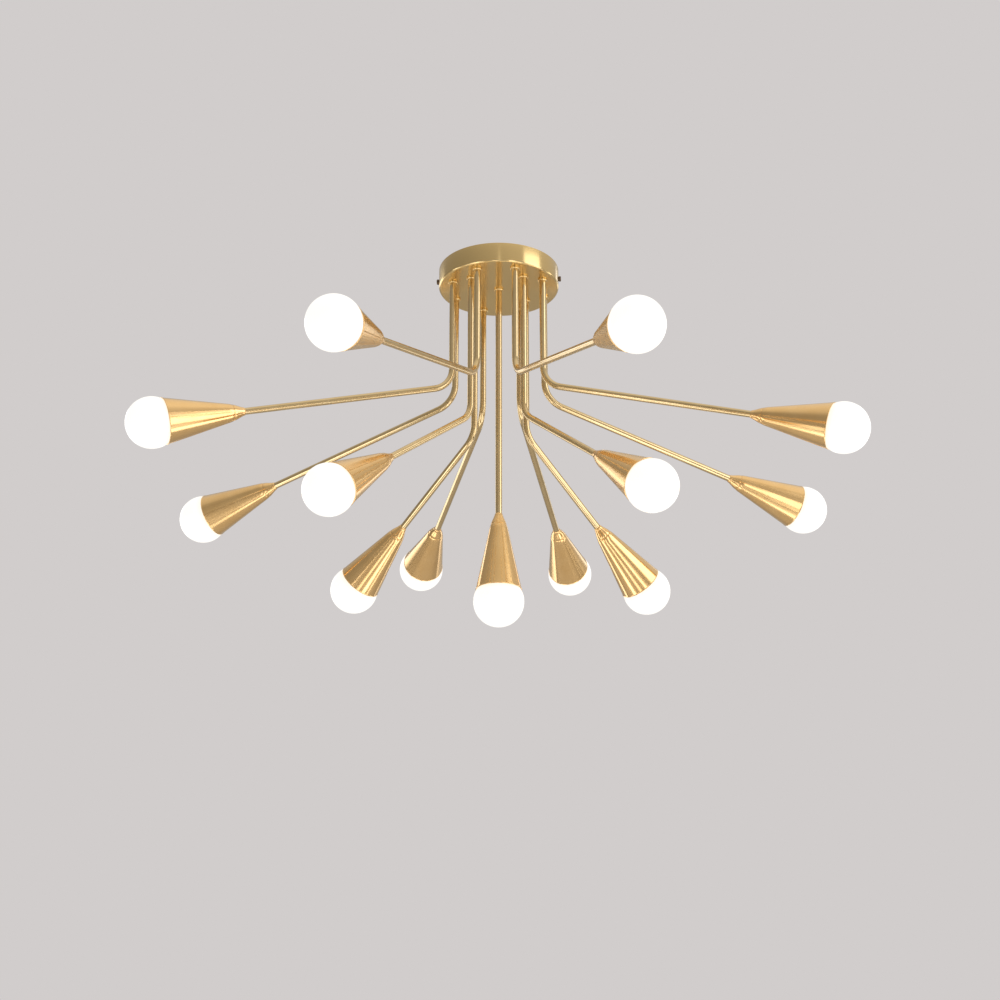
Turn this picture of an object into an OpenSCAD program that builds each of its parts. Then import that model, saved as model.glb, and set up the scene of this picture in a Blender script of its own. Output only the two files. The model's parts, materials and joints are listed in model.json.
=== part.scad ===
// Ceiling lamp with a round canopy, twelve bent arms and one straight centre stem.
// The origin is at the middle of the ceiling face, +Z points up and the lamp hangs below it.

/* [Canopy] */
// Diameter of the spun canopy
canopy_d = 148; // [144:1:170]
// Height of the canopy from the ceiling to its underside
canopy_h = 25; // [24:1:32]
// Sheet thickness of the canopy
canopy_wall = 1; // [0.8:0.1:1.4]
// Radius of the rolled edge round the underside
canopy_roll = 2.5; // [1.5:0.5:4]

/* [Arm holes] */
// Radius of the ring that holds the eight long arms
outer_ring_r = 59.5; // [56:0.5:61]
// Radius of the ring that holds the four short arms
inner_ring_r = 45; // [42:0.5:47]
// Radial clearance of a tube in its nut and in the canopy
turn_gap = 0.05; // [0.02:0.01:0.1]

/* [Tubes] */
// Outside diameter of every tube
tube_d = 8; // [7:0.5:8]
// Wall thickness of every tube
tube_wall = 0.8; // [0.6:0.1:1]
// Radius of the bend on the middle line of a tube
bend_r = 30; // [20:1:40]
// Drop of a long arm from the canopy to the corner of its bend
outer_stem = 141; // [120:1:170]
// Drop of a short arm from the canopy to the corner of its bend
inner_stem = 183.5; // [160:0.5:210]
// Drop of the centre stem from the canopy to its shade
centre_stem_l = 299.5; // [260:0.5:340]
// Length of a long arm from the corner of its bend to its shade
outer_reach = 261; // [200:1:320]
// Length of a short arm from the corner of its bend to its shade
inner_reach = 152.5; // [120:0.5:200]
// Slope of a long arm below the horizontal
outer_dip = 15; // [10:0.5:25]
// Slope of a short arm below the horizontal
inner_dip = 35.5; // [28:0.5:45]

/* [Set of the arms] */
// Sideways turn that arms 1 to 4 are set to
turn_1_to_4 = [3, 14, -5, 1.5]; // [-15:0.5:15]
// Sideways turn that arms 5 to 8 are set to
turn_5_to_8 = [0, 2.5, 0.5, 7.5]; // [-15:0.5:15]
// Sideways turn that the short arms 9 to 12 are set to
turn_9_to_12 = [2, 4, 2, -1]; // [-15:0.5:15]
// Extra slope of arms 1 to 4
droop_1_to_4 = [-0.5, -0.5, -3, 0.5]; // [-4:0.5:4]
// Extra slope of arms 5 to 8
droop_5_to_8 = [0.5, 0, 1, 1.5]; // [-4:0.5:4]
// Extra slope of the short arms 9 to 12
droop_9_to_12 = [0, -1, 0.5, 1]; // [-4:0.5:4]
// Extra drop of arm 3, whose tube was bent lower than the others
low_bend = 8; // [0:1:15]

/* [Shades] */
// Length of the turned end cap
cap_l = 12; // [10:0.5:14]
// Length of the cone after the end cap
cone_l = 81; // [79:0.5:81]
// Diameter of the cone where it meets the end cap
neck_d = 19; // [18.5:0.1:20]
// Diameter of the open mouth
mouth_d = 54.2; // [54.2:0.1:56]
// Sheet thickness of the cone
cone_wall = 0.6; // [0.5:0.05:0.6]

/* [Bulbs] */
// Diameter of the globe
globe_d = 59.5; // [58:0.5:59.5]
// Distance from the start of the end cap to the middle of the globe
globe_s = 107.2; // [107.2:0.1:110]

/* [Hidden] */
$fn = 72;
tube_r = tube_d / 2;
bore_r = tube_r - tube_wall;
hole_r = tube_r + turn_gap;
seat_gap = 0.05;
bend_inset = 0.02;
bend_lap = 0.5;
underside = -canopy_h;
canopy_r = canopy_d / 2;
ARMS = [1:12];
LONG_ARMS = 8;
turns = concat(turn_1_to_4, turn_5_to_8, turn_9_to_12);
droops = concat(droop_1_to_4, droop_5_to_8, droop_9_to_12);

// Nuts and collars on the canopy plate
collar_r = 5.8;
collar_h = 2.6;
locknut_r = 7.2;
locknut_h = 4;
locknut_z = underside + canopy_wall + seat_gap;
head_r = 5.3;
head_h = 1.2;
head_z = locknut_z + locknut_h + 0.3;

// Mounting bracket and side screws
bar_w = 16;
bar_t = 2;
bar_end = canopy_r - canopy_wall - 0.8;
tab_t = 2;
tab_h = 17;
slot_w = 4.5;
slot_l = 14;
slot_span = 88;
entry_r = 5;
side_screw_z = -12.5;
side_shank_r = 1.95;
side_hole_r = 2;
side_head_r = 3.3;
side_head_l = 3;

// Wiring in the canopy and in the tubes
lead_z = -14;
lead_r = 1.6;
bundle_r = 24;
bundle_wire_r = 2.6;
cord_r = 2.2;

// Lampholder and bulb, as distances along the shade from the start of the end cap
cone_end = cap_l + cone_l;
tube_end = 22;
holder_start = 16;
holder_neck_r = 7;
holder_body_s = 35;
holder_r = 11.8;
holder_end = 64;
holder_floor = 40;
shell_start = 44;
shell_in_r = 7.3;
shell_wall = 0.35;
contact_r = 1.6;
bulb_tip = 47.2;
cap_thread_r = 6.95;
collar_start = 64.6;
globe_r = globe_d / 2;
globe_wall = 1.1;
neck_r = 12.2;
globe_cut = globe_s - sqrt(globe_r * globe_r - neck_r * neck_r);

brass = "#c8a24e";
steel = "#b9bcc0";
opal = "#fbf8f0";
plastic = "#e9e6df";

// ---- Places ----

function is_long(k) = k <= LONG_ARMS;
function hole_angle(k) = is_long(k) ? 22.5 + 45 * (k - 1) : 45 + 90 * (k - LONG_ARMS - 1);
function hole_ring(k) = is_long(k) ? outer_ring_r : inner_ring_r;
function arm_angle(k) = hole_angle(k) + turns[k - 1];
function arm_dip(k) = (is_long(k) ? outer_dip : inner_dip) + droops[k - 1];
function arm_stem(k) = (is_long(k) ? outer_stem : inner_stem) + (k == 3 ? low_bend : 0);
function arm_reach(k) = is_long(k) ? outer_reach : inner_reach;
function along(dip, l) = [l * cos(dip), 0, -l * sin(dip)];
function arc(c, r, from, to, n) = [for (i = [0:n]) let (a = from + (to - from) * i / n)
    [c[0] + r * cos(a), c[1] + r * sin(a)]];

// At the hole of an arm in the canopy plate, with +X along the arm
module at_arm(k) {
    rotate(hole_angle(k))
        translate([hole_ring(k), 0, underside])
            rotate(turns[k - 1])
                children();
}

// At the end of the tube of an arm, with +Z along its shade
module at_shade(k) {
    dip = arm_dip(k);
    at_arm(k)
        translate([0, 0, -arm_stem(k)] + along(dip, arm_reach(k)))
            rotate([0, 90 + dip, 0])
                children();
}

// At the end of the centre stem, with +Z along its shade
module at_centre_shade() {
    translate([0, 0, underside - centre_stem_l])
        rotate([180, 0, 0])
            children();
}

module at_holes() {
    children();
    for (k = ARMS)
        at_arm(k)
            translate([0, 0, -underside])
                children();
}

// ---- Shapes ----

module ring(r_out, r_in) {
    difference() {
        circle(r_out);
        if (r_in > 0)
            circle(r_in);
    }
}

// A rod or tube that hangs from a head at the top, bends away and runs on into the shade.
// The bend is a hair thinner than the straight runs, which lap over both of its ends.
module bent_run(k, r_out, r_in, r_head, past) {
    turn = 90 - arm_dip(k);
    tangent = bend_r * tan(turn / 2);
    drop = arm_stem(k) - tangent;
    bend_in = r_in > 0 ? r_in + bend_inset : 0;
    translate([bend_r, 0, -drop])
        rotate([90, 0, 0])
            rotate(180) {
                translate([bend_r, bend_lap, 0])
                    rotate([90, 0, 0])
                        headed_run(drop + head_z - underside + bend_lap, r_out, r_in, r_head);
                rotate_extrude(angle = turn)
                    translate([bend_r, 0])
                        ring(r_out - bend_inset, bend_in);
                rotate(turn)
                    translate([bend_r, -bend_lap, 0])
                        rotate([-90, 0, 0])
                            linear_extrude(arm_reach(k) - tangent + past + bend_lap)
                                ring(r_out, r_in);
            }
}

// A straight run with a head of its own radius on its far end
module headed_run(l, r_out, r_in, r_head) {
    turned([[r_in, 0], [r_out, 0], [r_out, l], [r_head, l], [r_head, l + head_h],
        [r_in, l + head_h]]);
}

module turned(points) {
    rotate_extrude()
        polygon(points);
}

// ---- Canopy ----

module canopy_cover() {
    r_in = canopy_r - canopy_wall;
    roll_in = canopy_roll - canopy_wall;
    color(brass)
        difference() {
            turned(concat(
                [[0, underside]],
                arc([canopy_r - canopy_roll, underside + canopy_roll], canopy_roll, -90, 0, 10),
                [[canopy_r, 0], [r_in, 0]],
                arc([r_in - roll_in, underside + canopy_wall + roll_in], roll_in, 0, -90, 10),
                [[0, underside + canopy_wall]]));
            at_holes()
                translate([0, 0, underside - 1])
                    cylinder(h = canopy_wall + 2, r = hole_r);
            for (side = [-1, 1])
                translate([side * (canopy_r - 4), 0, side_screw_z])
                    rotate([0, side * 90, 0])
                        cylinder(h = 8, r = side_hole_r);
        }
}

module mounting_bracket() {
    color(steel)
        difference() {
            union() {
                translate([-bar_end, -bar_w / 2, -bar_t])
                    cube([2 * bar_end, bar_w, bar_t]);
                for (side = [-1, 1])
                    translate([side * (bar_end - tab_t / 2) - tab_t / 2, -bar_w / 2, -tab_h])
                        cube([tab_t, bar_w, tab_h]);
            }
            translate([0, 0, -bar_t - 1])
                cylinder(h = bar_t + 2, r = entry_r);
            for (side = [-1, 1])
                translate([side * slot_span / 2, 0, -bar_t - 1])
                    ceiling_slot(bar_t + 2);
            for (side = [-1, 1])
                translate([side * (bar_end - 5), 0, side_screw_z])
                    rotate([0, side * 90, 0])
                        cylinder(h = 8, r = side_hole_r);
        }
}

module ceiling_slot(h) {
    flat = slot_l - slot_w;
    translate([-flat / 2, -slot_w / 2, 0])
        cube([flat, slot_w, h]);
    for (end = [-1, 1])
        translate([end * flat / 2, 0, 0])
            cylinder(h = h, r = slot_w / 2);
}

// A short screw along +X with its head outside the canopy and its tip past the bracket's tab
module side_screw() {
    head_x = canopy_r + 0.15;
    tip_x = bar_end - tab_t - 3;
    color("#4a3b28")
        translate([0, 0, side_screw_z])
            rotate([0, 90, 0])
                difference() {
                    union() {
                        translate([0, 0, tip_x])
                            cylinder(h = head_x - tip_x + 0.5, r = side_shank_r);
                        translate([0, 0, head_x])
                            turned(concat([[0, 0], [side_head_r, 0]],
                                arc([side_head_r - 1, side_head_l - 1], 1, 0, 90, 6),
                                [[0, side_head_l]]));
                    }
                    translate([-side_head_r - 1, -0.4, head_x + side_head_l - 1])
                        cube([2 * side_head_r + 2, 0.8, 2]);
                }
}

module side_screw_right() {
    side_screw();
}

module side_screw_left() {
    rotate(180)
        side_screw();
}

module arm_collars() {
    color(brass)
        at_holes()
            translate([0, 0, underside - seat_gap - collar_h])
                turned([[hole_r, 0], [collar_r - 0.7, 0], [collar_r, 0.7],
                    [collar_r, collar_h], [hole_r, collar_h]]);
}

module arm_locknuts() {
    color(steel)
        at_holes()
            translate([0, 0, locknut_z])
                difference() {
                    cylinder(h = locknut_h, r = locknut_r, $fn = 6);
                    translate([0, 0, -1])
                        cylinder(h = locknut_h + 2, r = hole_r);
                }
}

module terminal_block() {
    block = [24, 14, 8.6];
    start = [12, -7, -bar_t - seat_gap - 8.6];
    color(plastic)
        difference() {
            translate(start)
                cube(block);
            for (i = [0:2])
                translate(start + [4 + 8 * i, 10.5, -1])
                    cylinder(h = 7, r = 2.2);
        }
    color(steel)
        for (i = [0:2])
            translate(start + [4 + 8 * i, 10.5, 1])
                difference() {
                    cylinder(h = 4, r = 2);
                    translate([-2, -0.3, -0.1])
                        cube([4, 0.6, 0.8]);
                }
}

// A lead from every tube runs to one bundle, which climbs to the terminal block
module canopy_wiring() {
    color("#efeee8") {
        translate([0, 0, lead_z])
            rotate_extrude()
                translate([bundle_r, 0])
                    circle(bundle_wire_r);
        for (k = ARMS)
            rotate(hole_angle(k))
                tube_lead(hole_ring(k));
        rotate(180)
            mirror([1, 0, 0])
                tube_lead(0);
        translate([bundle_r, 0, lead_z])
            cylinder(h = 3, r = 2.2);
    }
}

module tube_lead(from) {
    span = abs(bundle_r - from);
    top = head_z + head_h;
    translate([from, 0, top + 0.4]) {
        cylinder(h = lead_z - top - 0.4, r = lead_r);
        translate([0, 0, lead_z - top - 0.4])
            sphere(lead_r);
    }
    translate([min(from, bundle_r), 0, lead_z])
        rotate([0, 90, 0])
            cylinder(h = span, r = lead_r);
}

// ---- Arms ----

module arm_tube(k) {
    color(brass)
        at_arm(k)
            bent_run(k, tube_r, bore_r, head_r, tube_end);
    color(brass)
        at_shade(k)
            end_cap();
}

module centre_stem() {
    color(brass)
        translate([0, 0, underside - centre_stem_l - tube_end])
            headed_run(centre_stem_l + tube_end + head_z - underside, tube_r, bore_r, head_r);
    color(brass)
        at_centre_shade()
            end_cap();
}

// The turned cap that the shade sits against: a short foot, a fillet, a slope and a rounded edge
module end_cap() {
    foot_l = 2;
    foot_r = tube_r + 0.35;
    start_r = tube_r + 1.1;
    start = 8.5;
    flare = 23;
    edge = 12;
    fillet_r = 8;
    fillet_mid = [start_r + fillet_r * cos(start), -fillet_r * sin(start)];
    fillet_end = fillet_mid + fillet_r * [-cos(flare), sin(flare)];
    slope_end = fillet_end + 6 * [tan(flare), 1];
    round_r = (cap_l - seat_gap - slope_end[1]) / (sin(flare) - sin(edge));
    turned(concat(
        [[hole_r, -foot_l], [foot_r, -foot_l]],
        arc(fillet_mid, fillet_r, 180 - start, 180 - flare, 4),
        arc(slope_end + round_r * [-cos(flare), sin(flare)], round_r, -flare, -edge, 6),
        [[hole_r, cap_l - seat_gap]]));
}

// ---- Shade: a spun cone with a beaded mouth ----

module cone() {
    neck_r_out = neck_d / 2;
    mouth_r = mouth_d / 2;
    bead_r = 0.5;
    mid = [neck_r_out + 1.25, cap_l + 4];
    shoulder = [neck_r_out + 1.9, cap_l + 7];
    inward = [-cone_wall, 0];
    turned([[hole_r, cap_l], [neck_r_out, cap_l], mid, shoulder, [mouth_r, cone_end],
        [mouth_r, cone_end] + inward, shoulder + inward, mid + inward,
        [neck_r_out - cone_wall, cap_l + cone_wall], [hole_r, cap_l + cone_wall]]);
    translate([0, 0, cone_end - bead_r])
        rotate_extrude()
            translate([mouth_r - cone_wall / 2, 0])
                circle(bead_r, $fn = 24);
}

module shade() {
    color(brass)
        cone();
}

// ---- Lampholder: clamp nut, insulator, screw shell, contact and leads ----

module lampholder_parts() {
    color(steel)
        difference() {
            translate([0, 0, cap_l + cone_wall + seat_gap])
                cylinder(h = holder_start - cap_l - cone_wall - 2 * seat_gap, r = 7.2, $fn = 6);
            cylinder(h = holder_start + 1, r = hole_r);
        }
    color(plastic)
        turned([[hole_r, holder_start], [holder_neck_r, holder_start],
            [holder_neck_r, holder_body_s - 5], [holder_r, holder_body_s],
            [holder_r, holder_end], [shell_in_r + shell_wall + seat_gap, holder_end],
            [shell_in_r + shell_wall + seat_gap, shell_start], [contact_r + seat_gap, shell_start],
            [contact_r + seat_gap, holder_floor], [5.5, holder_floor],
            [5.5, tube_end + 2], [hole_r, tube_end + 2]]);
    color(steel)
        turned([[4, shell_start + seat_gap], [shell_in_r + shell_wall, shell_start + seat_gap],
            [shell_in_r + shell_wall, holder_end - 2], [shell_in_r, holder_end - 2],
            [shell_in_r, shell_start + 0.5], [4, shell_start + 0.5]]);
    color(steel)
        turned([[0, holder_floor - 3], [contact_r, holder_floor - 3],
            [contact_r, bulb_tip - 1.4], [2.6, bulb_tip - 1.4], [2.6, bulb_tip - 0.4],
            [0, bulb_tip - 0.4]]);
}

module lampholder(k) {
    at_shade(k)
        lampholder_parts();
    color("#efeee8")
        at_arm(k)
            bent_run(k, cord_r, 0, cord_r, holder_floor - 4);
}

module lampholder_centre() {
    at_centre_shade()
        lampholder_parts();
    color("#efeee8")
        translate([0, 0, underside - centre_stem_l - holder_floor + 4])
            cylinder(h = centre_stem_l + holder_floor - 4 + head_z - underside, r = cord_r);
}

// ---- Bulb: globe, housing, light board, screw cap and contact ----

module bulb() {
    color(opal)
        difference() {
            translate([0, 0, globe_s])
                sphere(globe_r);
            translate([0, 0, globe_s])
                sphere(globe_r - globe_wall);
            translate([0, 0, globe_cut - 10])
                cylinder(h = 10, r = neck_r + 2);
        }
    color(plastic)
        turned([[0, collar_start], [8.6, collar_start], [9.4, collar_start + 1.5],
            [neck_r, globe_cut - seat_gap], [0, globe_cut - seat_gap]]);
    color(plastic)
        translate([0, 0, globe_cut])
            cylinder(h = 1.6, r = 8);
    color(steel)
        turned([[0, bulb_tip + 3.2], [cap_thread_r - 1, bulb_tip + 3.2],
            [cap_thread_r, bulb_tip + 4.4], [cap_thread_r, collar_start - seat_gap],
            [0, collar_start - seat_gap]]);
    color("#2b2b2b")
        turned([[0, bulb_tip], [2.2, bulb_tip], [2.8, bulb_tip + 1],
            [5.2, bulb_tip + 3.2 - seat_gap], [0, bulb_tip + 3.2 - seat_gap]]);
}

// ---- Drawing ----

canopy_cover();
mounting_bracket();
side_screw_left();
side_screw_right();
arm_collars();
arm_locknuts();
terminal_block();
canopy_wiring();
centre_stem();
at_centre_shade() shade();  // shade_centre
lampholder_centre();
at_centre_shade() bulb();  // bulb_centre
for (k = ARMS) {
    arm_tube(k);
    at_shade(k) shade();
    lampholder(k);
    at_shade(k) bulb();
}
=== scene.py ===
import json
import math

import bmesh
import bpy
from mathutils import Matrix, Vector


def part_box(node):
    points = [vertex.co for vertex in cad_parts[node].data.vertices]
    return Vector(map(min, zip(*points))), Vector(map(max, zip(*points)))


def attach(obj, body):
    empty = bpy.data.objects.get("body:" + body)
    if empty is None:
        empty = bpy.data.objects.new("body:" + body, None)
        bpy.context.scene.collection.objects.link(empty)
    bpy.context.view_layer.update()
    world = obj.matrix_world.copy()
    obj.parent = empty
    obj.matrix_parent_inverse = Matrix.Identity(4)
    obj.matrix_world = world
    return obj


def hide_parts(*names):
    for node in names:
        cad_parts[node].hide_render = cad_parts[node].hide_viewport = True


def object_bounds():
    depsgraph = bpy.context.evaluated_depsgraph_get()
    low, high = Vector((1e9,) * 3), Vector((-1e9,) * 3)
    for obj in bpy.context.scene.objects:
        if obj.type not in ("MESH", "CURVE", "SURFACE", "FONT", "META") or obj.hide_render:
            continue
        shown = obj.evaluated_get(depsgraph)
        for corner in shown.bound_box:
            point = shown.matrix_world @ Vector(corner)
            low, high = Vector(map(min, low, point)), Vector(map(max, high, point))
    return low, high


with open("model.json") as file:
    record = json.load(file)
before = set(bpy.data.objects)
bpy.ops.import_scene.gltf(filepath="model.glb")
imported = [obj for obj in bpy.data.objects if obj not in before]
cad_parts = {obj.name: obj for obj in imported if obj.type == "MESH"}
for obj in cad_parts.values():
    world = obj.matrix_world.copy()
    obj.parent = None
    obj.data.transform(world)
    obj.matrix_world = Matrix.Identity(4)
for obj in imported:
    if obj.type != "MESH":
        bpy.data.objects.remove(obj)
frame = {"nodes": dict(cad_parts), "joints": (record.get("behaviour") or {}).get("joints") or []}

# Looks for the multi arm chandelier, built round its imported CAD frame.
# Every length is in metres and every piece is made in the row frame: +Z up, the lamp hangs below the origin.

CAD_LO, CAD_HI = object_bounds()
JOINTS = {joint["name"]: joint for joint in frame["joints"]}
ARMS = [str(number) for number in range(1, 13)]
LAMPS = ARMS + ["centre"]
UP = Vector((0, 0, 1))
TURN = 2 * math.pi
MM = 0.001
UV_PER_METRE = 10

# Sizes that the CAD nodes have too
TUBE_R = 4 * MM
BORE_R = 3.2 * MM
HEAD_R = 5.3 * MM
HEAD_H = 1.2 * MM
BEND_R = 30 * MM
HOLE_R = 4.05 * MM
COLLAR_R = 5.8 * MM
COLLAR_H = 2.6 * MM
CAP_L = 12 * MM
CONE_END = 93 * MM
NECK_R = 9.5 * MM
MOUTH_R = 27.1 * MM
SHEET = 0.6 * MM
TUBE_END = 22 * MM
GLOBE_S = 107.2 * MM
GLOBE_R = 29.75 * MM
GLOBE_WALL = 1.1 * MM
HOUSING_R = 12.2 * MM
HOLDER_R = 11.8 * MM
CORD_R = 2.2 * MM
CORD_END = 36 * MM
BUNDLE_RING = 24 * MM
BUNDLE_Z = -14 * MM
E14_PITCH = 2.82 * MM


# ---- Mesh helpers ----

def polar(centre, radius, degrees):
    """A point at an angle round a centre, in a profile of (radius, height)."""
    angle = math.radians(degrees)
    return (centre[0] + radius * math.cos(angle), centre[1] + radius * math.sin(angle))


def arc(centre, radius, start, end, steps):
    """Points on an arc in a profile, angles in degrees."""
    return [polar(centre, radius, start + (end - start) * i / steps) for i in range(steps + 1)]


def eased(points, radius, steps=4):
    """A closed profile with every corner rounded to the radius, or to what its sides leave."""
    out = []
    count = len(points)
    for i, corner in enumerate(points):
        here = Vector(corner)
        before = Vector(points[i - 1]) - here
        after = Vector(points[(i + 1) % count]) - here
        if here.x < 1e-7 or before.length < 1e-7 or after.length < 1e-7:
            out.append(corner)
            continue
        bend = before.angle(after)
        if bend > math.radians(172):
            out.append(corner)
            continue
        cut = min(radius / math.tan(bend / 2), 0.45 * before.length, 0.45 * after.length)
        first = here + before.normalized() * cut
        last = here + after.normalized() * cut
        for step in range(steps + 1):
            t = step / steps
            point = first * (1 - t) ** 2 + here * 2 * t * (1 - t) + last * t * t
            out.append((max(point.x, 0.0), point.y))
    return out


def finished(name, verts, faces, grain, uvs, material, place=None, sharp=35):
    """A mesh object in the row frame, with its own coordinates kept as the grain attribute for materials."""
    place = place or Matrix.Identity(4)
    mesh = bpy.data.meshes.new(name)
    mesh.from_pydata([place @ Vector(v) for v in verts], [], faces)
    attribute = mesh.attributes.new("grain", "FLOAT_VECTOR", "POINT")
    attribute.data.foreach_set("vector", [c for point in grain for c in point])
    layer = mesh.uv_layers.new(name="grain_uv")
    for polygon in mesh.polygons:
        corner_uvs = [uvs[mesh.loops[i].vertex_index] for i in polygon.loop_indices]
        wraps = max(u for u, v in corner_uvs) - min(u for u, v in corner_uvs) > 0.5
        for i, (u, v) in zip(polygon.loop_indices, corner_uvs):
            layer.data[i].uv = (u + 1 if wraps and u < 0.5 else u, v)
    mesh.polygons.foreach_set("use_smooth", [True] * len(mesh.polygons))
    mesh.update()
    mesh.set_sharp_from_angle(angle=math.radians(sharp))
    mesh.materials.append(material)
    piece = bpy.data.objects.new(name, mesh)
    bpy.context.scene.collection.objects.link(piece)
    return piece


def turned(name, profile, material, place=None, steps=96, wave=None, sharp=35):
    """A solid of revolution about local Z. wave(angle, radius, height) may move a point outward."""
    verts, uvs, faces, rings = [], [], [], []
    travel = 0
    for i, (radius, height) in enumerate(profile):
        if i:
            travel += math.dist(profile[i - 1], (radius, height))
        if radius < 1e-6:
            rings.append([len(verts)])
            verts.append((0, 0, height))
            uvs.append((0.25, travel * UV_PER_METRE))
            continue
        ring = []
        for step in range(steps):
            angle = TURN * step / steps
            r = radius + (wave(angle, radius, height) if wave else 0)
            ring.append(len(verts))
            verts.append((r * math.cos(angle), r * math.sin(angle), height))
            uvs.append((step / steps, travel * UV_PER_METRE))
        rings.append(ring)
    for low, high in zip(rings, rings[1:] + rings[:1]):
        for step in range(steps):
            ahead = (step + 1) % steps
            if len(low) > 1 and len(high) > 1:
                faces.append((low[step], low[ahead], high[ahead], high[step]))
            elif len(low) > 1:
                faces.append((low[step], low[ahead], high[0]))
            elif len(high) > 1:
                faces.append((low[0], high[ahead], high[step]))
    return finished(name, verts, faces, verts, uvs, material, place, sharp)


def path_frames(path):
    """A steady pair of cross directions at each point of a path."""
    tangents = []
    for i in range(len(path)):
        ahead = path[min(i + 1, len(path) - 1)]
        behind = path[max(i - 1, 0)]
        tangents.append((ahead - behind).normalized())
    side = tangents[0].orthogonal().normalized()
    frames = []
    for i, tangent in enumerate(tangents):
        if i:
            side = (side - tangent * side.dot(tangent)).normalized()
        frames.append((side, tangent.cross(side)))
    return frames


def swept(name, path, radii, material, sides=40, bore=None):
    """A round rod along a path, or a tube where bore gives its inner radius.
    radii holds one radius for each point."""
    frames = path_frames(path)
    verts, grain, uvs, faces = [], [], [], []
    layers = [radii] if bore is None else [radii, [bore] * len(path)]
    starts = []
    for layer in layers:
        starts.append(len(verts))
        travel = 0
        for i, point in enumerate(path):
            if i:
                travel += (point - path[i - 1]).length
            side, across = frames[i]
            for step in range(sides):
                angle = TURN * step / sides
                out = side * math.cos(angle) + across * math.sin(angle)
                verts.append(point + out * layer[i])
                grain.append((layer[i] * math.cos(angle), layer[i] * math.sin(angle), travel))
                uvs.append((step / sides, travel * UV_PER_METRE))
    for number, start in enumerate(starts):
        for i in range(len(path) - 1):
            for step in range(sides):
                a = start + i * sides + step
                b = start + i * sides + (step + 1) % sides
                quad = (a, b, b + sides, a + sides)
                faces.append(quad if number == 0 else quad[::-1])
    last = (len(path) - 1) * sides
    if bore is None:
        faces.append(tuple(range(sides))[::-1])
        faces.append(tuple(last + step for step in range(sides)))
    else:
        inner = starts[1]
        for step in range(sides):
            ahead = (step + 1) % sides
            faces.append((ahead, step, inner + step, inner + ahead))
            faces.append((last + step, last + ahead, inner + last + ahead, inner + last + step))
    return finished(name, verts, faces, grain, uvs, material)


def joined(name, pieces):
    """One object from several, with every material kept."""
    for piece in bpy.context.selected_objects:
        piece.select_set(False)
    for piece in pieces:
        piece.select_set(True)
    bpy.context.view_layer.objects.active = pieces[0]
    bpy.ops.object.join()
    pieces[0].name = name
    return pieces[0]


def drilled(piece, cutters):
    """Cuts the cutters out of the piece and removes them."""
    for cutter in cutters:
        cut = piece.modifiers.new("cut", "BOOLEAN")
        cut.operation = "DIFFERENCE"
        cut.solver = "EXACT"
        cut.object = cutter
    final = piece.evaluated_get(bpy.context.evaluated_depsgraph_get())
    mesh = bpy.data.meshes.new_from_object(final)
    piece.modifiers.clear()
    piece.data = mesh
    mesh.set_sharp_from_angle(angle=math.radians(35))
    for cutter in cutters:
        bpy.data.objects.remove(cutter)
    return piece


# ---- Materials ----

class Nodes:
    """A short way to build a node material."""

    def __init__(self, name):
        self.material = bpy.data.materials.new(name)
        self.material.use_nodes = True
        self.tree = self.material.node_tree
        self.shader = self.tree.nodes["Principled BSDF"]

    def add(self, kind, inputs=None, **settings):
        node = self.tree.nodes.new(kind)
        for key, value in settings.items():
            setattr(node, key, value)
        for key, value in (inputs or {}).items():
            if isinstance(value, bpy.types.NodeSocket):
                self.tree.links.new(value, node.inputs[key])
            else:
                node.inputs[key].default_value = value
        return node

    def set(self, **values):
        for key, value in values.items():
            socket = self.shader.inputs[key.replace("_", " ")]
            if isinstance(value, bpy.types.NodeSocket):
                self.tree.links.new(value, socket)
            else:
                socket.default_value = value

    def grain(self, scale):
        """The piece's own coordinates in metres, times a scale for each axis."""
        source = self.add("ShaderNodeAttribute", attribute_name="grain")
        return self.add("ShaderNodeVectorMath", {0: source.outputs["Vector"], 1: scale},
                        operation="MULTIPLY").outputs[0]

    def noise(self, vector, scale=1.0, detail=3.0, roughness=0.5):
        return self.add("ShaderNodeTexNoise", {"Vector": vector, "Scale": scale, "Detail": detail,
                                               "Roughness": roughness}).outputs["Fac"]

    def remap(self, value, low, high, start=0.3, end=0.7):
        return self.add("ShaderNodeMapRange", {"Value": value, "From Min": start, "From Max": end,
                                               "To Min": low, "To Max": high}).outputs["Result"]

    def blend(self, factor, first, second):
        mix = self.add("ShaderNodeMix", data_type="RGBA")
        self.tree.links.new(factor, mix.inputs[0])
        for index, value in ((6, first), (7, second)):
            if isinstance(value, bpy.types.NodeSocket):
                self.tree.links.new(value, mix.inputs[index])
            else:
                mix.inputs[index].default_value = (*value, 1)
        return mix.outputs[2]

    def bump(self, height, strength, distance):
        return self.add("ShaderNodeBump", {"Height": height, "Strength": strength,
                                           "Distance": distance}).outputs["Normal"]


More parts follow.
